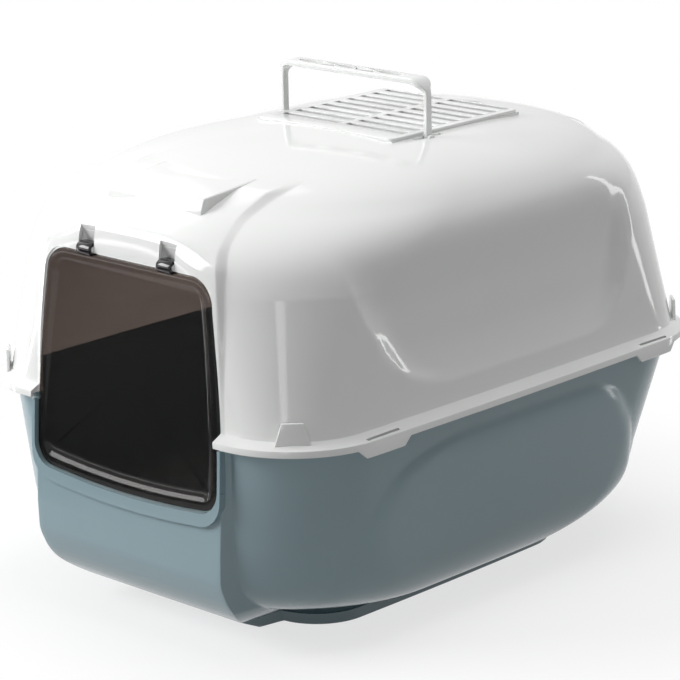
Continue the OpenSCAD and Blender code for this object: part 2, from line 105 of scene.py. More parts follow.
band_f = np.concatenate([np.linspace(0, 0.4, 6), np.linspace(0.4, 0.95, 26)[1:]])
step_f = np.array([-0.25, -0.1, 0, 0.1, 0.25, 0.5, 0.75, 0.9, 1, 1.1, 1.25])
front_f = np.linspace(0, 1, 24)[1:]
half_y = body_l / 2 - 0.293 * rim_r
tab_y = np.array([tab_a, tab_a - 7, tab_b + 7, tab_b])
side_f = np.concatenate([np.linspace(0, 0.74, 28), np.linspace(0.74, 0.985, 22), tab_y / half_y])
side_f = np.unique(side_f)[::-1]


def cheek_y(a, b, r, x):
    """How far a cheek's front reaches at x: a straight run and a round corner."""
    return b - r + np.sqrt(np.maximum(0, r * r - np.maximum(0, x - (a - r)) ** 2))


def quarter(a, b, r0, xs0, step, band):
    """Points of a quarter level: from the band's middle, down its step and round the corner.

    The band's reach is one number, or how far it stands before the cheek at its middle and at its edge."""
    tiny = 0.000001  # for the crown, where the level shrinks to a point
    r, xs, step = min(r0, 0.93 * a, 0.93 * b), min(xs0, 0.62 * a), max(min(step, 0.06 * a), tiny)
    x_end, y_end = a - 0.293 * r, b - 0.293 * r
    beside = xs + step * step_f[-1]
    x = np.concatenate([xs * band_f, xs + step * step_f, beside + (x_end - beside) * front_f])
    cheek = cheek_y(a, b, r, x)
    if isinstance(band, tuple):
        proud = band[0] + (band[1] - band[0]) * np.clip(x / max(xs, tiny), 0, 1) ** 3
    else:
        proud = band - cheek
    y = cheek + proud * (1 - through(step_line, (x - xs) / step))
    on_band = x < xs
    bowed = np.where(on_band, x, x * (1 + bow * (1 - (y / max(b, tiny)) ** 2)))
    y2 = y_end * side_f
    x2 = a - r + np.sqrt(np.maximum(0, r * r - np.maximum(0, y2 - (b - r)) ** 2))
    return np.concatenate([bowed, x2 * (1 + bow * (1 - (y2 / max(b, tiny)) ** 2))]), np.concatenate([y, y2])


def level(a, front, rear, r, xs, step, front_reach, rear_reach, z):
    """A whole level, counter-clockwise from above, starting at the middle of the front."""
    fx, fy = quarter(a, front, r, xs, step, front_reach)
    rx, ry = quarter(a, rear, r, xs, step, rear_reach)
    x = np.concatenate([fx, rx[-2::-1], -rx[1:], -fx[-2:0:-1]])
    y = np.concatenate([-fy, ry[-2::-1], ry[1:], -fy[-2:0:-1]])
    return np.stack([x, y, np.full_like(x, z)], 1)


# The band's edge runs up the wall and back over the roof, where the band narrows: [height, reach
# of the edge], [height, half width], [height, width of the step beside it]; then the middle's reach
edge_reach = [[184, 253], [240, 251], [289, 248], [307, 245], [319, 238], [331, 223], [343, 200], [356, 166]]
edge_x = [[184, 104], [240, 102], [289, 98], [307, 95], [319, 90], [331, 85], [343, 80], [356, 79]]
edge_step = [[184, 3], [289, 4.5], [356, 6.5]]
middle_reach = [[184, 255.5], [247, 253], [289, 249.5], [318, 247], [325, 245], [332, 237], [341, 219],
                [348, 200], [355, 178], [360, 152]]


def hood_level(z, off=0):
    """The hood's level at height z, moved inwards by off."""
    k = min(max((z - root_z) / (turn_z - root_z), 0), 1)
    t = min(max((z - turn_z) / (roof_z - off - turn_z), 0), 1)
    a, r = (hood_a + 0.5 * k - off) * shoulder(t, 3.9, 2.4), 69 + 43 * k + 64 * t - off
    front = (hood_b - 4.5 * k - off) * shoulder(t, 2.9, 2.15)
    rear = (hood_b - 11 * k - off) * shoulder(t, 4.8, 3.6)
    xs, lift = through(edge_x, z) - off * 0.8, z + off * t
    edge = cheek_y(a, front, min(r, 0.93 * a, 0.93 * front), min(xs, 0.62 * a))
    at_edge = max(0, through(edge_reach, lift) - off - edge) * (1 - smooth(353.5, 357, lift))
    at_middle = max(0, through(middle_reach, lift) - off - front) * (1 - smooth(0.8, 0.9, t))
    behind = 4 * (1 - smooth(0.7, 0.9, t))
    return level(a, front, rear, r, xs, through(edge_step, z), (at_middle, at_edge), (behind, behind), z)


def ramp(v):
    """Rises at once from 0 and eases into 1: the section of a crisp-edged recess."""
    return 1 - (1 - np.clip(v, 0, 1)) ** 2


scoop_front = [[204, -98], [210, -113], [222, -137], [245, -159], [272, -175], [309, -185], [330, -188]]
scoop_rear = [[204, 104], [210, 117], [222, 127], [240, 136], [307, 142], [330, 143]]


def scooped(ring):
    """The level with the cheek's scoop drawn in."""
    x, y, z = ring.T
    depth = (ramp((y - through(scoop_front, z)) / 30) * ramp((through(scoop_rear, z) - y) / 20)
             * ramp((z - 203) / 40) * (1 - smooth(268, 335, z)) * smooth(60, 80, abs(x)))
    return np.stack([x - np.sign(x) * scoop_d * depth, y, z], 1)


def rim_level(z, off):
    """The flange's outline at height z, moved inwards by off."""
    half = body_l / 2 - off
    return level(rim_a - off, half, half, rim_r - off, spine_x, 3, half, half, z)


def tabbed(ring):
    """The skirt's lower edge, which hangs lower at the four snap tabs."""
    x, y, z = ring.T
    drop = np.clip(np.minimum(tab_a - abs(y), abs(y) - tab_b), 0, tab_drop) * (abs(x) > 150)
    return np.stack([x, y, z - drop], 1)


def rolled(name, levels):
    """A grid rolled up into a closed skin: each row of the grid becomes one level."""
    rows, columns = len(levels), len(levels[0])
    bpy.ops.mesh.primitive_grid_add(x_subdivisions=columns, y_subdivisions=rows - 1, size=1)
    piece = bpy.context.object
    piece.name = name
    closed = [np.concatenate([ring, ring[:1]]) for ring in levels]
    piece.data.vertices.foreach_set("co", (np.concatenate(closed) * mm).astype(np.float32).ravel())
    piece.data.update()
    bpy.ops.object.mode_set(mode="EDIT")
    bpy.ops.mesh.select_all(action="SELECT")
    bpy.ops.mesh.remove_doubles(threshold=0.00001)
    bpy.ops.mesh.normals_make_consistent(inside=False)
    bpy.ops.object.mode_set(mode="OBJECT")
    return piece


def pick(piece):
    """Makes one piece the only selected and the active one."""
    bpy.ops.object.select_all(action="DESELECT")
    piece.select_set(True)
    bpy.context.view_layer.objects.active = piece


def settle(piece):
    """Puts a piece's place into its mesh."""
    pick(piece)
    bpy.ops.object.transform_apply(location=True, rotation=True, scale=True)
    return piece


def apply(piece, kind, **settings):
    """Adds one modifier with its settings and applies it."""
    pick(piece)
    m = piece.modifiers.new(kind.lower(), kind)
    for key, value in settings.items():
        setattr(m, key, value)
    bpy.ops.object.modifier_apply(modifier=m.name)
    return piece


def cut(piece, *tools, keep="DIFFERENCE"):
    """Cuts the tools out of the piece, or joins them to it, and removes them."""
    for tool in tools:
        apply(piece, "BOOLEAN", operation=keep, solver="EXACT", object=tool)
        bpy.data.objects.remove(tool)
    return piece


def block(low, high):
    """A block between two corners in millimetres."""
    low, high = Vector(low) * mm, Vector(high) * mm
    bpy.ops.mesh.primitive_cube_add(size=1, location=(low + high) / 2, scale=high - low)
    return settle(bpy.context.object)


def prism(outline, depth, place=Matrix()):
    """A flat outline in x and y, in millimetres, drawn out along z from 0 to depth and then placed."""
    bm = bmesh.new()
    face = bm.faces.new([bm.verts.new(Vector((x, y, 0)) * mm) for x, y in outline])
    drawn = bmesh.ops.extrude_face_region(bm, geom=[face])
    lifted = [v for v in drawn["geom"] if isinstance(v, bmesh.types.BMVert)]
    bmesh.ops.translate(bm, verts=lifted, vec=(0, 0, depth * mm))
    bmesh.ops.transform(bm, matrix=place, verts=bm.verts)
    bmesh.ops.recalc_face_normals(bm, faces=bm.faces)
    piece = bpy.data.objects.new("prism", bpy.data.meshes.new("prism"))
    bm.to_mesh(piece.data)
    bm.free()
    scene.collection.objects.link(piece)
    return piece


across = Matrix(((0, 0, 1, 0), (1, 0, 0, 0), (0, 1, 0, 0), (0, 0, 0, 1)))

roof_t = list(np.linspace(0, 0.62, 24)[1:])
crown_a = np.linspace((1 - 0.62 ** 3.9) ** (1 / 2.4), 0, 44)[1:]
roof_t += [(1 - a ** 2.4) ** (1 / 3.9) for a in crown_a]
flange = [hood_level(root_z + 3), hood_level(root_z + 0.9, -0.3), hood_level(root_z + 0.2, -1.1)]
rim_top = rim_z + skirt_h
rims = [rim_level(rim_top + 0.3, 1.3), rim_level(rim_top - 0.1, 0.3), rim_level(rim_top - 1, 0)]
skirt = [rim_level(rim_z + 0.5, 0), rim_level(rim_z, 0.5)]
skirt += [rim_level(rim_z, 1.9), rim_level(rim_z + 0.5, 2.4)]
under = [rim_level(rim_z + 3, 2.4), hood_level(root_z, wall) - [0, 0, root_z - rim_z - 3]]
levels = [scooped(hood_level(turn_z + (roof_z - turn_z) * t)) for t in roof_t[::-1]]
levels += [scooped(hood_level(root_z + (turn_z - root_z) * k)) for k in np.linspace(1, 0.04, 56)]
levels += flange + rims + [tabbed(ring) for ring in skirt] + under
levels += [scooped(hood_level(root_z + (turn_z - root_z) * k, wall)) for k in np.linspace(0, 1, 34)[1:]]
inner_rise = roof_z - wall - turn_z
levels += [scooped(hood_level(turn_z + inner_rise * t, wall)) for t in roof_t[::2] + roof_t[-1:]]
hood = rolled("hood_shell", levels)

door_tilt, pin_y, hinge_z, door_v, door_h = math.radians(3.43), hood_b - 4.5, 304.5, 3.5, 185.5
door_x, door_top_x, door_gap, clip_x, pocket_w = 103, 93, 1.4, 45.4, 17.5
hinge = Matrix.Translation(Vector((0, -pin_y, hinge_z)) * mm)
in_door = hinge @ Matrix.Rotation(math.pi / 2 - door_tilt, 4, "X")


def door_outline(d):
    """The door's outline moved inwards by d, counter-clockwise; y = 0 is the hinge axis."""
    low = -door_v - door_h
    xb, yb, rb = door_x - 18.5, low + 23.4, 19
    xt, yt, rt = door_top_x - 21.5, -door_v - 22, 22
    half = [(x, low + d + 3.5 * (x / 75) ** 2) for x in range(0, 80, 8)]
    for a in np.radians(np.linspace(-84, 0, 22)):
        half.append((xb + (rb - d) * math.cos(a), yb + (rb - d) * math.sin(a)))
    for f in np.linspace(0, 0.97, 20)[1:]:
        half.append(((xb + rb) * (1 - f * f) + (xt + rt) * f * f - d, yb + (yt - yb) * f))
    for a in np.radians(np.linspace(8, 90, 22)):
        half.append((xt + (rt - d) * math.cos(a), yt + (rt - d) * math.sin(a)))
    half += [(x, -door_v - d) for x in np.linspace(xt, 0, 8)[1:]]
    return half + [(-x, y) for x, y in half[-2:0:-1]]


def door_cut():
    return prism(door_outline(-door_gap), 60, in_door @ Matrix.Translation((0, 0, -28 * mm)))


cover_x, cover_front, cover_back, seat_z = 76, -26, 132, roof_z - 1.8
well_x, well_front, well_back, well_z = 70, -8, 130.5, roof_z - 12.3
pivot_y, pivot_z, leg_x, leg_t, leg_d = 12.3, roof_z - 5.5, 80.5, 4, 6.5
frame_block = block((-cover_x - 0.3, cover_front - 0.3, well_z - 3), (cover_x + 0.3, cover_back + 0.3, seat_z))
plateau = prism([(-217.5, 334), (-217.5, 341.5), (-213.5, 352), (-155, 357.5), (-155, 350)], 106,
                Matrix.Translation((-53 * mm, 0, 0)) @ across)
apply(plateau, "BEVEL", width=1.4 * mm, segments=4, limit_method="ANGLE")
ridge_y, ridge_l = cover_back + 1, 40
ridge = prism([(ridge_y, 362), (ridge_y, 370.4), (ridge_y + ridge_l, 363.5), (ridge_y + ridge_l, 361)], 32,
              Matrix.Translation((-16 * mm, 0, 0)) @ across)
apply(ridge, "BEVEL", width=1.5 * mm, segments=3, limit_method="ANGLE")
cut(hood, frame_block, plateau, ridge, keep="UNION")
for x in (-leg_x, leg_x):
    bpy.ops.mesh.primitive_cylinder_add(vertices=64, radius=4.4 * mm, depth=10.2 * mm,
                                        rotation=(0, math.pi / 2, 0),
                                        location=(x * mm, pivot_y * mm, pivot_z * mm))
    ear = settle(bpy.context.object)
    apply(ear, "BEVEL", width=0.8 * mm, segments=3, limit_method="ANGLE")
    cut(hood, ear, keep="UNION")
for x in (-clip_x, clip_x):
    at = Matrix.Translation(Vector((x, -pin_y, hinge_z)) * mm) @ across
    w = pocket_w + 9
    housing = prism([(0.9, -5), (2.6, -5), (2.6, 2.9), (12.1, 2.9), (12.1, 4), (9, 21), (5.5, 19.5)], w,
                    Matrix.Translation((-w / 2 * mm, 0, 0)) @ at)
    cut(hood, housing, keep="UNION")
cut(hood, door_cut())
for x in (-clip_x, clip_x):
    at = Matrix.Translation(Vector((x - pocket_w / 2, -pin_y, hinge_z)) * mm) @ across
    cut(hood, prism([(-14, -6), (9.5, -6), (9.5, 2), (1, 21.5), (-14, 21.5)], pocket_w, at))
cut(hood, block((-cover_x - 0.3, cover_front - 0.3, seat_z), (cover_x + 0.3, cover_back + 0.3, seat_z + 20)),
    block((-well_x, well_front, well_z), (well_x, well_back, 400)),
    block((-well_x + 4, well_front + 4, 340), (well_x - 4, well_back - 4, 400)))
slot_x, slot_w, slot_y, slot_l = 191.27, 2.4, 168, 36
for sx in (-1, 1):
    for sy in (-1, 1):
        x = sorted((sx * slot_x, sx * (slot_x + slot_w)))
        y = sorted((sy * (slot_y - slot_l / 2), sy * (slot_y + slot_l / 2)))
        cut(hood, block((x[0], y[0], rim_z), (x[1], y[1], rim_z + 20)))
    foot = sorted((sx * (leg_x - leg_t / 2 - 0.5), sx * (leg_x + leg_t / 2 + 0.5)))
    cut(hood, block((foot[0], pivot_y - 16.5, pivot_z - 5), (foot[1], pivot_y + 16.5, 400)))


def finish(piece, body, slot, material, *stands_for, sharp=32):
    """Shades a piece, gives it its material and lets it ride on its body."""
    pick(piece)
    bpy.ops.object.shade_smooth_by_angle(angle=math.radians(sharp))
    piece.data.materials.clear()
    piece.data.materials.append(material)
    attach(piece, body)
    if stands_for:
        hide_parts(*stands_for)


def shader(name, **sockets):
    """A new material and its Principled shader with the given socket values."""
    material = bpy.data.materials.new(name)
    material.use_nodes = True
    tree = material.node_tree
    principled = tree.nodes["Principled BSDF"]
    for key, value in sockets.items():
        principled.inputs[key.replace("_", " ")].default_value = value
    return material, tree, principled


def moulded(name, color, deep, roughness, grain=1.0):
    """Injection-moulded plastic: faint flow marks in the colour and a fine orange peel in the gloss."""
    material, tree, principled = shader(name, IOR=1.46)
    new, link = tree.nodes.new, tree.links.new
    where = new("ShaderNodeTexCoord")
    flow = new("ShaderNodeTexNoise")
    flow.inputs["Scale"].default_value = 7
    flow.inputs["Detail"].default_value = 3
    link(where.outputs["Object"], flow.inputs["Vector"])
    tint = new("ShaderNodeMix")
    tint.data_type = "RGBA"
    tint.inputs["A"].default_value = (*deep, 1)
    tint.inputs["B"].default_value = (*color, 1)
    span = new("ShaderNodeMapRange")
    span.inputs["From Min"].default_value = 0.3
    span.inputs["From Max"].default_value = 0.7
    link(flow.outputs["Fac"], span.inputs["Value"])
    link(span.outputs["Result"], tint.inputs["Factor"])
    link(tint.outputs["Result"], principled.inputs["Base Color"])
    gloss = new("ShaderNodeMapRange")
    gloss.inputs["To Min"].default_value = roughness * 0.85
    gloss.inputs["To Max"].default_value = roughness * 1.15
    link(flow.outputs["Fac"], gloss.inputs["Value"])
    link(gloss.outputs["Result"], principled.inputs["Roughness"])
    peel = new("ShaderNodeTexNoise")
    peel.inputs["Scale"].default_value = 900
    link(where.outputs["Object"], peel.inputs["Vector"])
    bump = new("ShaderNodeBump")
    bump.inputs["Strength"].default_value = 0.04 * grain
    bump.inputs["Distance"].default_value = 0.0004
    link(peel.outputs["Fac"], bump.inputs["Height"])
    link(bump.outputs["Normal"], principled.inputs["Normal"])
    return material


white = moulded("white_polypropylene", (0.80, 0.81, 0.80), (0.78, 0.79, 0.78), 0.07)
finish(hood, "hood_body", "hood", white, "hood")

# ---- Corner plates -----------------------------------------------------------
# Four upright plates on the flange, moulded with the hood, that lead the lid of a stacked box.
for sx in (-1, 1):
    for sy in (-1, 1):
        d = 0.707 * (rim_r - 7.8)
        corner_x, corner_y = rim_a - rim_r + d - 2.1, body_l / 2 - rim_r + d + 2.1
        place = Vector((sx * corner_x, sy * corner_y, rim_top + 0.5)) * mm
        facing = math.atan2(sy, sx) + math.pi / 2
        upright = Matrix.Rotation(facing, 4, "Z") @ Matrix.Rotation(math.pi / 2, 4, "X")
        plate = prism([(-14.3, 0), (14.3, 0), (8.6, 19.4), (-8.6, 19.4)], 2.5,
                      Matrix.Translation(place) @ upright @ Matrix.Translation((0, 0, -1.25 * mm)))
        plate.name = f"corner_plate_{'rear' if sy > 0 else 'front'}_{'right' if sx > 0 else 'left'}"
        apply(plate, "BEVEL", width=0.7 * mm, segments=3, limit_method="ANGLE")
        finish(plate, "hood_body", "hood", white)

# ---- Tray --------------------------------------------------------------------
# The deep pan that holds the litter, moulded in blue-grey polypropylene. It stands on a low
# plinth, its front carries the middle band on, and a lip runs round the entry.
tray_top, tray_b, belly_z, plinth_h, field_h = rim_z + 2.7, body_l / 2 - 13.5, rim_z / 2, 10, 5
belly_a, belly_front, belly_rear = 178.6, 253.7, 228
band_low = [[0, 186], [0.05, 196], [0.115, 207], [0.23, 225], [0.39, 243], [0.57, 254], [0.77, 259.5],
            [1, 259.5]]
band_high = [[0, 259.5], [0.3, 258], [0.6, 256.5], [1, 254.5]]
rear_low = [[0, 20], [0.12, 30], [0.23, 22], [0.39, 14], [0.57, 9], [0.8, 6], [1, 5]]


def tray_level(z, off=0):
    """The tray's level at height z, moved inwards by off."""
    k = min(max((z - belly_z) / (tray_top - belly_z), 0), 1)
    t = min(max((belly_z - z + off) / belly_z, 0), 0.999)
    low = z < belly_z
    a = (belly_a + (hood_a + 1.5 - belly_a) * k - off) * shoulder(t, 3.8, 2.28)
    front = (belly_front + (tray_b - belly_front) * k - off) * shoulder(t, 3.74, 2.24)
    rear = (belly_rear + (tray_b - belly_rear) * k - off) * shoulder(t, 2.6, 2.15)
    front_reach = (through(band_low, 1 - t) if low else through(band_high, k)) - off
    rear_reach = rear + (through(rear_low, 1 - t) if low else 5)
    xs = spine_x - 1 - off * 0.8 - 3 * t
    return level(a, front, rear, 102 - 28 * k + 42 * t - off, xs, 4, front_reach, rear_reach, z)


def plinth_level(z, off=0):
    """The plinth's level at height z, moved inwards by off."""
    a, front, rear = 118 + z / 8 - off, 164 + z / 4 - off, 150 - off
    return level(a, front, rear, 46 - off, 99 - off, 4, 186 + 2.1 * z - off, 172 + z - off, z)


field_front = [[40, -200], [60, -196], [83, -189], [111, -172], [137, -148], [147, -129], [152, -112],
               [158, -80]]
field_rear = [[40, 170], [80, 165], [110, 155], [133, 142], [148, 128], [158, 108]]


def fielded(ring):
    """The level with the cheek's raised field."""
    x, y, z = ring.T
    raised = (ramp((y - through(field_front, z)) / 24) * ramp((through(field_rear, z) - y) / 22)
              * ramp((160 - z) / 24) * smooth(15, 95, z) * smooth(60, 80, abs(x)))
    return np.stack([x + np.sign(x) * field_h * raised, y, z], 1)


levels = [np.zeros_like(levels[0]) + [0, 0, 3], plinth_level(3, wall), plinth_level(plinth_h, wall)]
levels += [tray_level(z, wall) for z in np.linspace(belly_z * 0.15 + 2, tray_top, 30)]
levels += [rim_level(tray_top, 5.5), rim_level(tray_top - 3, 5.5), tray_level(tray_top - 3.2)]
levels += [fielded(tray_level(z)) for z in np.linspace(tray_top - 4, belly_z, 36)]
levels += [fielded(tray_level(belly_z * f)) for f in np.linspace(1, 0.125, 56)[1:]]
levels += [plinth_level(plinth_h), plinth_level(0.6), plinth_level(0, 0.6), np.zeros_like(levels[0])]
tray = rolled("tray_shell", levels)
strip_w, lip_w = 3, 10.5
side_strips = prism(door_outline(-door_gap - strip_w), 6.3, in_door @ Matrix.Translation((0, 0, -3.4 * mm)))
lip = prism([(x, y + strip_w - lip_w) for x, y in door_outline(-door_gap - strip_w)], 6.3,
            in_door @ Matrix.Translation((0, 0, -3.4 * mm)))
cut(side_strips, lip, keep="UNION")
cut(side_strips, block((-200, -300, rim_z - 3), (200, -200, 400)))
cut(side_strips, door_cut())
apply(side_strips, "BEVEL", width=1.2 * mm, segments=4, limit_method="ANGLE", angle_limit=math.radians(50))
cut(tray, door_cut())
blue = moulded("blue_grey_polypropylene", (0.24, 0.335, 0.37), (0.23, 0.32, 0.355), 0.2)
finish(tray, "tray_body", "tray", blue, "tray")
side_strips.name = "entry_lip"
finish(side_strips, "tray_body", "tray", blue)

# ---- Door --------------------------------------------------------------------
# Smoked clear styrene, 2.4 mm thick: a flat border, a sloping bevel and a sunk pane.
door_t, pane_d, border, bevel = 2.4, 3, 7, 11


def door_ring(d, z):
    return np.array([(x, y, z) for x, y in door_outline(d)])


profile = [(0, -door_t), (0, -0.7), (0.2, -0.2), (0.7, 0), (border - 0.5, 0), (border, -0.08)]
for f in np.linspace(0, 1, 15)[1:]:
    profile.append((border + bevel * f, -0.08 - (pane_d - 0.08) * (1 - (1 - f) ** 2)))
profile += [(border + bevel + 1.5, -pane_d)]
middle = np.zeros((len(door_outline(0)), 3)) + [0, -door_v - door_h / 2, 0]
levels = [middle - [0, 0, pane_d]] + [door_ring(d, z) for d, z in profile[::-1]]
levels += [door_ring(d, z - door_t) for d, z in profile[4:]] + [middle - [0, 0, pane_d + door_t]]
door = rolled("door_pane", levels)
door.data.transform(in_door)
smoke, tree, principled = shader("smoked_clear_styrene", Base_Color=(0.004, 0.003, 0.003, 1),
                                 Roughness=0.06, IOR=1.55)
clear = tree.nodes.new("ShaderNodeBsdfTransparent")
clear.inputs["Color"].default_value = (0.42, 0.36, 0.335, 1)
mix = tree.nodes.new("ShaderNodeMixShader")
mix.inputs["Fac"].default_value = 0.35
tree.links.new(clear.outputs[0], mix.inputs[1])
tree.links.new(principled.outputs[0], mix.inputs[2])
tree.links.new(mix.outputs[0], tree.nodes["Material Output"].inputs["Surface"])
finish(door, "door_body", "door", smoke, "door_panel", sharp=40)

# ---- Door clips and hinge pins -------------------------------------------------
# The clips are moulded with the door and hook over two white pins, which are moulded with the
# hood. Both come from their solids, with the edges rounded as a mould leaves them.
def rounded_copy(name, title, width, segments=2):
    """A copy of a solid's mesh with its flat faces made whole and its edges rounded."""
    piece = bpy.data.objects.new(title, nodes[name].data.copy())
    piece.data.transform(nodes[name].matrix_world)
    scene.collection.objects.link(piece)
    pick(piece)
    bpy.ops.object.mode_set(mode="EDIT")
    bpy.ops.mesh.select_all(action="SELECT")
    bpy.ops.mesh.remove_doubles(threshold=0.000005)
    bpy.ops.mesh.dissolve_limited(angle_limit=math.radians(0.5))
    bpy.ops.object.mode_set(mode="OBJECT")
    return apply(piece, "BEVEL", width=width * mm, segments=segments, limit_method="ANGLE",
                 angle_limit=math.radians(35))


dark = shader("smoked_styrene_clip", Base_Color=(0.012, 0.010, 0.012, 1), Roughness=0.12, IOR=1.55)[0]
for side in ("left", "right"):
    clip = rounded_copy(f"door_clip_{side}", f"clip_{side}", 0.5)
    finish(clip, "door_body", "door", dark, f"door_clip_{side}")
    pin = rounded_copy(f"hinge_pin_{side}", f"pin_{side}", 0.6, 3)
    finish(pin, "hood_body", "hood", white, f"hinge_pin_{side}")

# ---- Handle -----------------------------------------------------------------
# One moulding in white polypropylene: slim legs that widen past the corners into an open
# truss of two rails and two crossing ribs, and stub pins that snap into the hood.
handle_h, corner_r, grip_w, cell = 50, 13, 18, 44
stations = [(leg_x, z, 0) for z in np.linspace(-0.5, handle_h - 2 - corner_r, 12)]
stations += [(leg_x - corner_r + corner_r * math.cos(a), handle_h - 2 - corner_r + corner_r * math.sin(a), a)
             for a in np.radians(np.linspace(0, 90, 15)[1:])]
stations += [(x, handle_h - 2, math.pi / 2) for x in np.linspace(leg_x - corner_r, 0, 12)[1:]]
stations += [(-x, z, math.pi - a) for x, z, a in stations[-2::-1]]
levels = []
for x, z, a in stations:
    across_grip = math.sin(a)
    w = leg_d + (grip_w - leg_d) * float(smooth(0.25, 1, across_grip))
    t = leg_t + 0.6 * float(smooth(0.5, 1, across_grip))
    ring = []
    for quadrant, (sx, sy) in enumerate(((1, 1), (-1, 1), (-1, -1), (1, -1))):
        for b in np.radians(90 * quadrant + np.linspace(0, 90, 5)):
            ring.append((sx * (t / 2 - 0.9) + 0.9 * math.cos(b), sy * (w / 2 - 0.9) + 0.9 * math.sin(b)))
    ca, sa = math.cos(a), math.sin(a)
    levels.append(np.array([(x + n * ca, pivot_y + y, pivot_z + z + n * sa) for n, y in ring]))
ends = [np.zeros_like(levels[0]) + levels[i].mean(0) for i in (0, -1)]
handle = rolled("handle_bow", [ends[0]] + levels + [ends[1]])
rib, rail = 0.75, 2.3
for i in (-1, 0, 1):
    arch = [(x, 5.9 * math.cos(math.pi * x / cell) - rib) for x in np.linspace(-0.43 * cell, 0.43 * cell, 19)]
    lens = [(i * cell + x, pivot_y + y) for x, y in arch]
    lens += [(i * cell + x, pivot_y - y) for x, y in arch[::-1]]
    cut(handle, prism(lens, 20, Matrix.Translation((0, 0, (pivot_z + handle_h - 10) * mm))))
for i in (-0.5, 0.5):
    for side in (-1, 1):
        under = [(x, abs(5.9 * math.sin(math.pi * x / cell)) + rib) for x in np.linspace(-15, 15, 21)]
        under += [(15, grip_w / 2 - rail), (-15, grip_w / 2 - rail)]
        gap = [(i * cell + x, pivot_y + side * y) for x, y in under]
        cut(handle, prism(gap, 20, Matrix.Translation((0, 0, (pivot_z + handle_h - 10) * mm))))
apply(handle, "BEVEL", width=0.35 * mm, segments=2, limit_method="ANGLE", angle_limit=math.radians(40))
for x in (-leg_x, leg_x):
    for radius, depth in ((leg_d / 2, leg_t), (2.5, leg_t + 6.6)):
        bpy.ops.mesh.primitive_cylinder_add(vertices=48, radius=radius * mm, depth=depth * mm,
                                            rotation=(0, math.pi / 2, 0),
                                            location=(x * mm, pivot_y * mm, pivot_z * mm))
        cut(handle, settle(bpy.context.object), keep="UNION")
handle.data.validate()
finish(handle, "handle_body", "handle", white, "handle")

# ---- Filter cover and grate -------------------------------------------------------
# The vented cover is a flat plate with two rows of slots; below it a slotted floor, moulded
# with the hood, carries the filter.
cover = rounded_copy("filter_cover", "vented_cover", 0.5)
finish(cover, "cover_body", "cover", white, "filter_cover")
grate = rounded_copy("filter_grate", "slotted_floor", 0.4)
finish(grate, "hood_body", "hood", white, "filter_grate")

# ---- Carbon filter ----------------------------------------------------------------
# A cut pad of needled felt filled with activated carbon; it lies loose under the cover.
pad = block((-69, well_front + 1, well_z + 2), (69, well_back - 1, well_z + 10))
pad.name = "carbon_pad"
pick(pad)
bpy.ops.object.mode_set(mode="EDIT")
bpy.ops.mesh.select_all(action="SELECT")
bpy.ops.mesh.subdivide(number_cuts=40)
bpy.ops.object.mode_set(mode="OBJECT")
low, high = (well_z + 2) * mm, (well_z + 10) * mm
for v in pad.data.vertices:
    edge = min(69 * mm - abs(v.co.x), v.co.y - (well_front + 1) * mm, (well_back - 1) * mm - v.co.y)
    middle = (low + high) / 2
    v.co.z = middle + (v.co.z - middle) * (0.72 + 0.28 * float(ramp(edge / (7 * mm))))
felt, tree, principled = shader("carbon_felt", Roughness=0.95)
new, link = tree.nodes.new, tree.links.new
where, fibre, grit = new("ShaderNodeTexCoord"), new("ShaderNodeTexNoise"), new("ShaderNodeTexVoronoi")
fibre.inputs["Scale"].default_value = 420
fibre.inputs["Detail"].default_value = 6
fibre.inputs["Distortion"].default_value = 1.5
grit.inputs["Scale"].default_value = 700
link(where.outputs["Object"], fibre.inputs["Vector"])
link(where.outputs["Object"], grit.inputs["Vector"])
tone = new("ShaderNodeMix")
tone.data_type = "RGBA"
tone.inputs["A"].default_value = (0.008, 0.008, 0.009, 1)
tone.inputs["B"].default_value = (0.045, 0.045, 0.048, 1)
link(fibre.outputs["Fac"], tone.inputs["Factor"])
link(tone.outputs["Result"], principled.inputs["Base Color"])
fuzz, knots = new("ShaderNodeBump"), new("ShaderNodeBump")
fuzz.inputs["Distance"].default_value = 0.0012
knots.inputs["Distance"].default_value = 0.0005
knots.inputs["Strength"].default_value = 0.5
link(fibre.outputs["Fac"], fuzz.inputs["Height"])
link(grit.outputs["Distance"], knots.inputs["Height"])
link(fuzz.outputs["Normal"], knots.inputs["Normal"])
link(knots.outputs["Normal"], principled.inputs["Normal"])
finish(pad, "hood_body", "carbon", felt, "carbon_filter", sharp=60)

# ---- Floor and light ----------------------------------------------------------
# A white sweep that goes to full white away from the box and keeps the shadow under it, soft lights
# in front, on the left and above, narrow strips for the gloss, and a black card for the door.
def shown_rays(tree):
    """A node that is 1 for rays that show the white background: seen, mirrored or let through."""
    new, link = tree.nodes.new, tree.links.new
    rays, seen, shown = new("ShaderNodeLightPath"), new("ShaderNodeMath"), new("ShaderNodeMath")
    seen.operation = shown.operation = "MAXIMUM"
    link(rays.outputs["Is Camera Ray"], seen.inputs[0])
    link(rays.outputs["Is Glossy Ray"], seen.inputs[1])
    link(seen.outputs[0], shown.inputs[0])
    link(rays.outputs["Is Transmission Ray"], shown.inputs[1])
    return shown


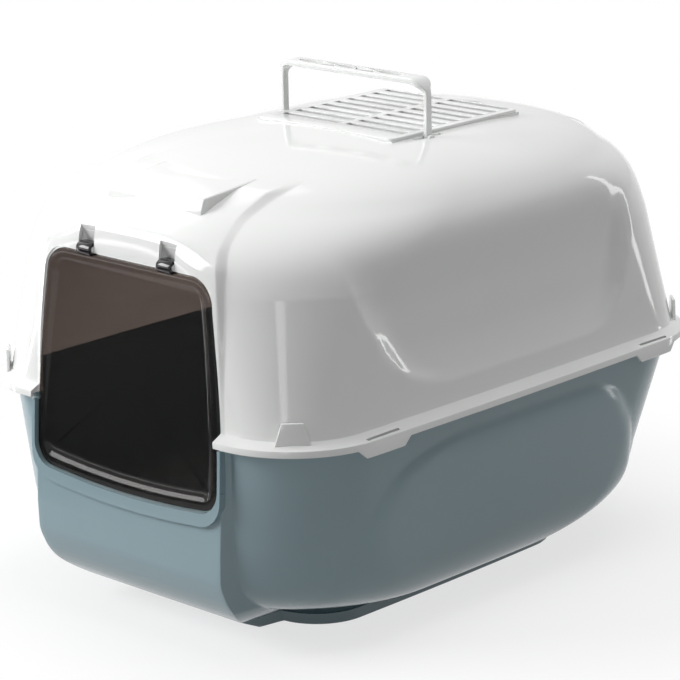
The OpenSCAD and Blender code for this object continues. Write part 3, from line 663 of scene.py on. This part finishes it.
bpy.ops.mesh.primitive_plane_add(size=30, location=(0, 0, 0))
floor = bpy.context.object
floor.name = "floor"
paper, tree, principled = shader("white_paper", Base_Color=(0.93, 0.93, 0.93, 1), Roughness=0.8)
new, link = tree.nodes.new, tree.links.new
where, far = new("ShaderNodeTexCoord"), new("ShaderNodeVectorMath")
far.operation = "LENGTH"
link(where.outputs["Object"], far.inputs[0])
fade = new("ShaderNodeMapRange")
fade.interpolation_type = "SMOOTHSTEP"
fade.inputs["From Min"].default_value = 0.3
fade.inputs["From Max"].default_value = 0.52
fade.inputs["To Min"].default_value = 0.7
link(far.outputs["Value"], fade.inputs["Value"])
shown = shown_rays(tree)
share = new("ShaderNodeMath")
share.operation = "MULTIPLY"
link(shown.outputs[0], share.inputs[0])
link(fade.outputs["Result"], share.inputs[1])
white_light = new("ShaderNodeEmission")
white_light.inputs["Strength"].default_value = 1
blend = new("ShaderNodeMixShader")
link(share.outputs[0], blend.inputs[0])
link(principled.outputs[0], blend.inputs[1])
link(white_light.outputs[0], blend.inputs[2])
link(blend.outputs[0], tree.nodes["Material Output"].inputs["Surface"])
dim = new("ShaderNodeMix")
dim.data_type = "RGBA"
dim.inputs["A"].default_value = (0.4, 0.4, 0.4, 1)
dim.inputs["B"].default_value = (0.93, 0.93, 0.93, 1)
link(shown.outputs[0], dim.inputs["Factor"])
link(dim.outputs["Result"], principled.inputs["Base Color"])
floor.data.materials.append(paper)
bpy.ops.mesh.primitive_plane_add(size=1, location=(-0.98, -1.28, 0.002), rotation=(0, 0, math.radians(-43)))
card = bpy.context.object
card.name = "black_card"
card.scale = (0.9, 2.0, 1)
card.visible_camera = False
black = shader("black_card", Base_Color=(0.004, 0.004, 0.005, 1), Roughness=0.9)[0]
card.data.materials.append(black)

world = bpy.data.worlds.new("studio")
scene.world = world
world.use_nodes = True
tree = world.node_tree
new, link = tree.nodes.new, tree.links.new
sky = tree.nodes["Background"]
sky.inputs["Color"].default_value = (1, 1, 1, 1)
sky.inputs["Strength"].default_value = 0.2
white_sky, either = new("ShaderNodeBackground"), new("ShaderNodeMixShader")
white_sky.inputs["Strength"].default_value = 1
shown = shown_rays(tree)
link(shown.outputs[0], either.inputs[0])
link(sky.outputs[0], either.inputs[1])
link(white_sky.outputs[0], either.inputs[2])
link(either.outputs[0], tree.nodes["World Output"].inputs["Surface"])


def softbox(name, azimuth, elevation, distance, width, length, power, aim=(0, 0, 0.2)):
    """An area light that faces the box; azimuth 0 is in front of the door, 90 beside the right wall."""
    a, e = math.radians(azimuth), math.radians(elevation)
    towards = Vector((math.sin(a) * math.cos(e), -math.cos(a) * math.cos(e), math.sin(e)))
    lamp = bpy.data.objects.new(name, bpy.data.lights.new(name, "AREA"))
    lamp.data.shape = "RECTANGLE"
    lamp.data.size, lamp.data.size_y = width, length
    lamp.data.energy = power
    lamp.location = Vector(aim) + towards * distance
    lamp.rotation_mode = "QUATERNION"
    lamp.rotation_quaternion = towards.to_track_quat("Z", "Y")
    scene.collection.objects.link(lamp)
    return lamp


softbox("left_box", -100, 36, 2.1, 1.7, 1.5, 6.5)
softbox("front_box", -40, 25, 2.1, 1.2, 1.0, 37)
top_box = softbox("top_box", 140, 80, 2.2, 1.8, 1.4, 30)
top_box.visible_glossy = False
softbox("front_strip", 31, 3, 2.6, 0.3, 0.85, 2.4)
rear_strip = softbox("rear_strip", 156, 8, 0.9, 0.1, 0.8, 1, (0.183, 0.15, 0.27))
rear_strip.visible_camera = False
softbox("door_line", -43, 2, 1.3, 0.9, 0.05, 0.6, (0, -0.26, 0.16))
softbox("door_edge", -73, -7, 0.62, 0.03, 0.34, 0.3, (0, -0.26, 0.2))
glow = softbox("hood_glow", 0, 90, 0.001, 0.3, 0.4, 1.3, (0, -0.02, 0.09))
glow.rotation_quaternion = Vector((0, 0, -1)).to_track_quat("Z", "Y")
glow.visible_camera = False
glow.visible_glossy = False
lit = bpy.data.collections.new("lit_through_hood")
lit.objects.link(hood)
glow.light_linking.receiver_collection = lit

scene.view_settings.view_transform = "Standard"
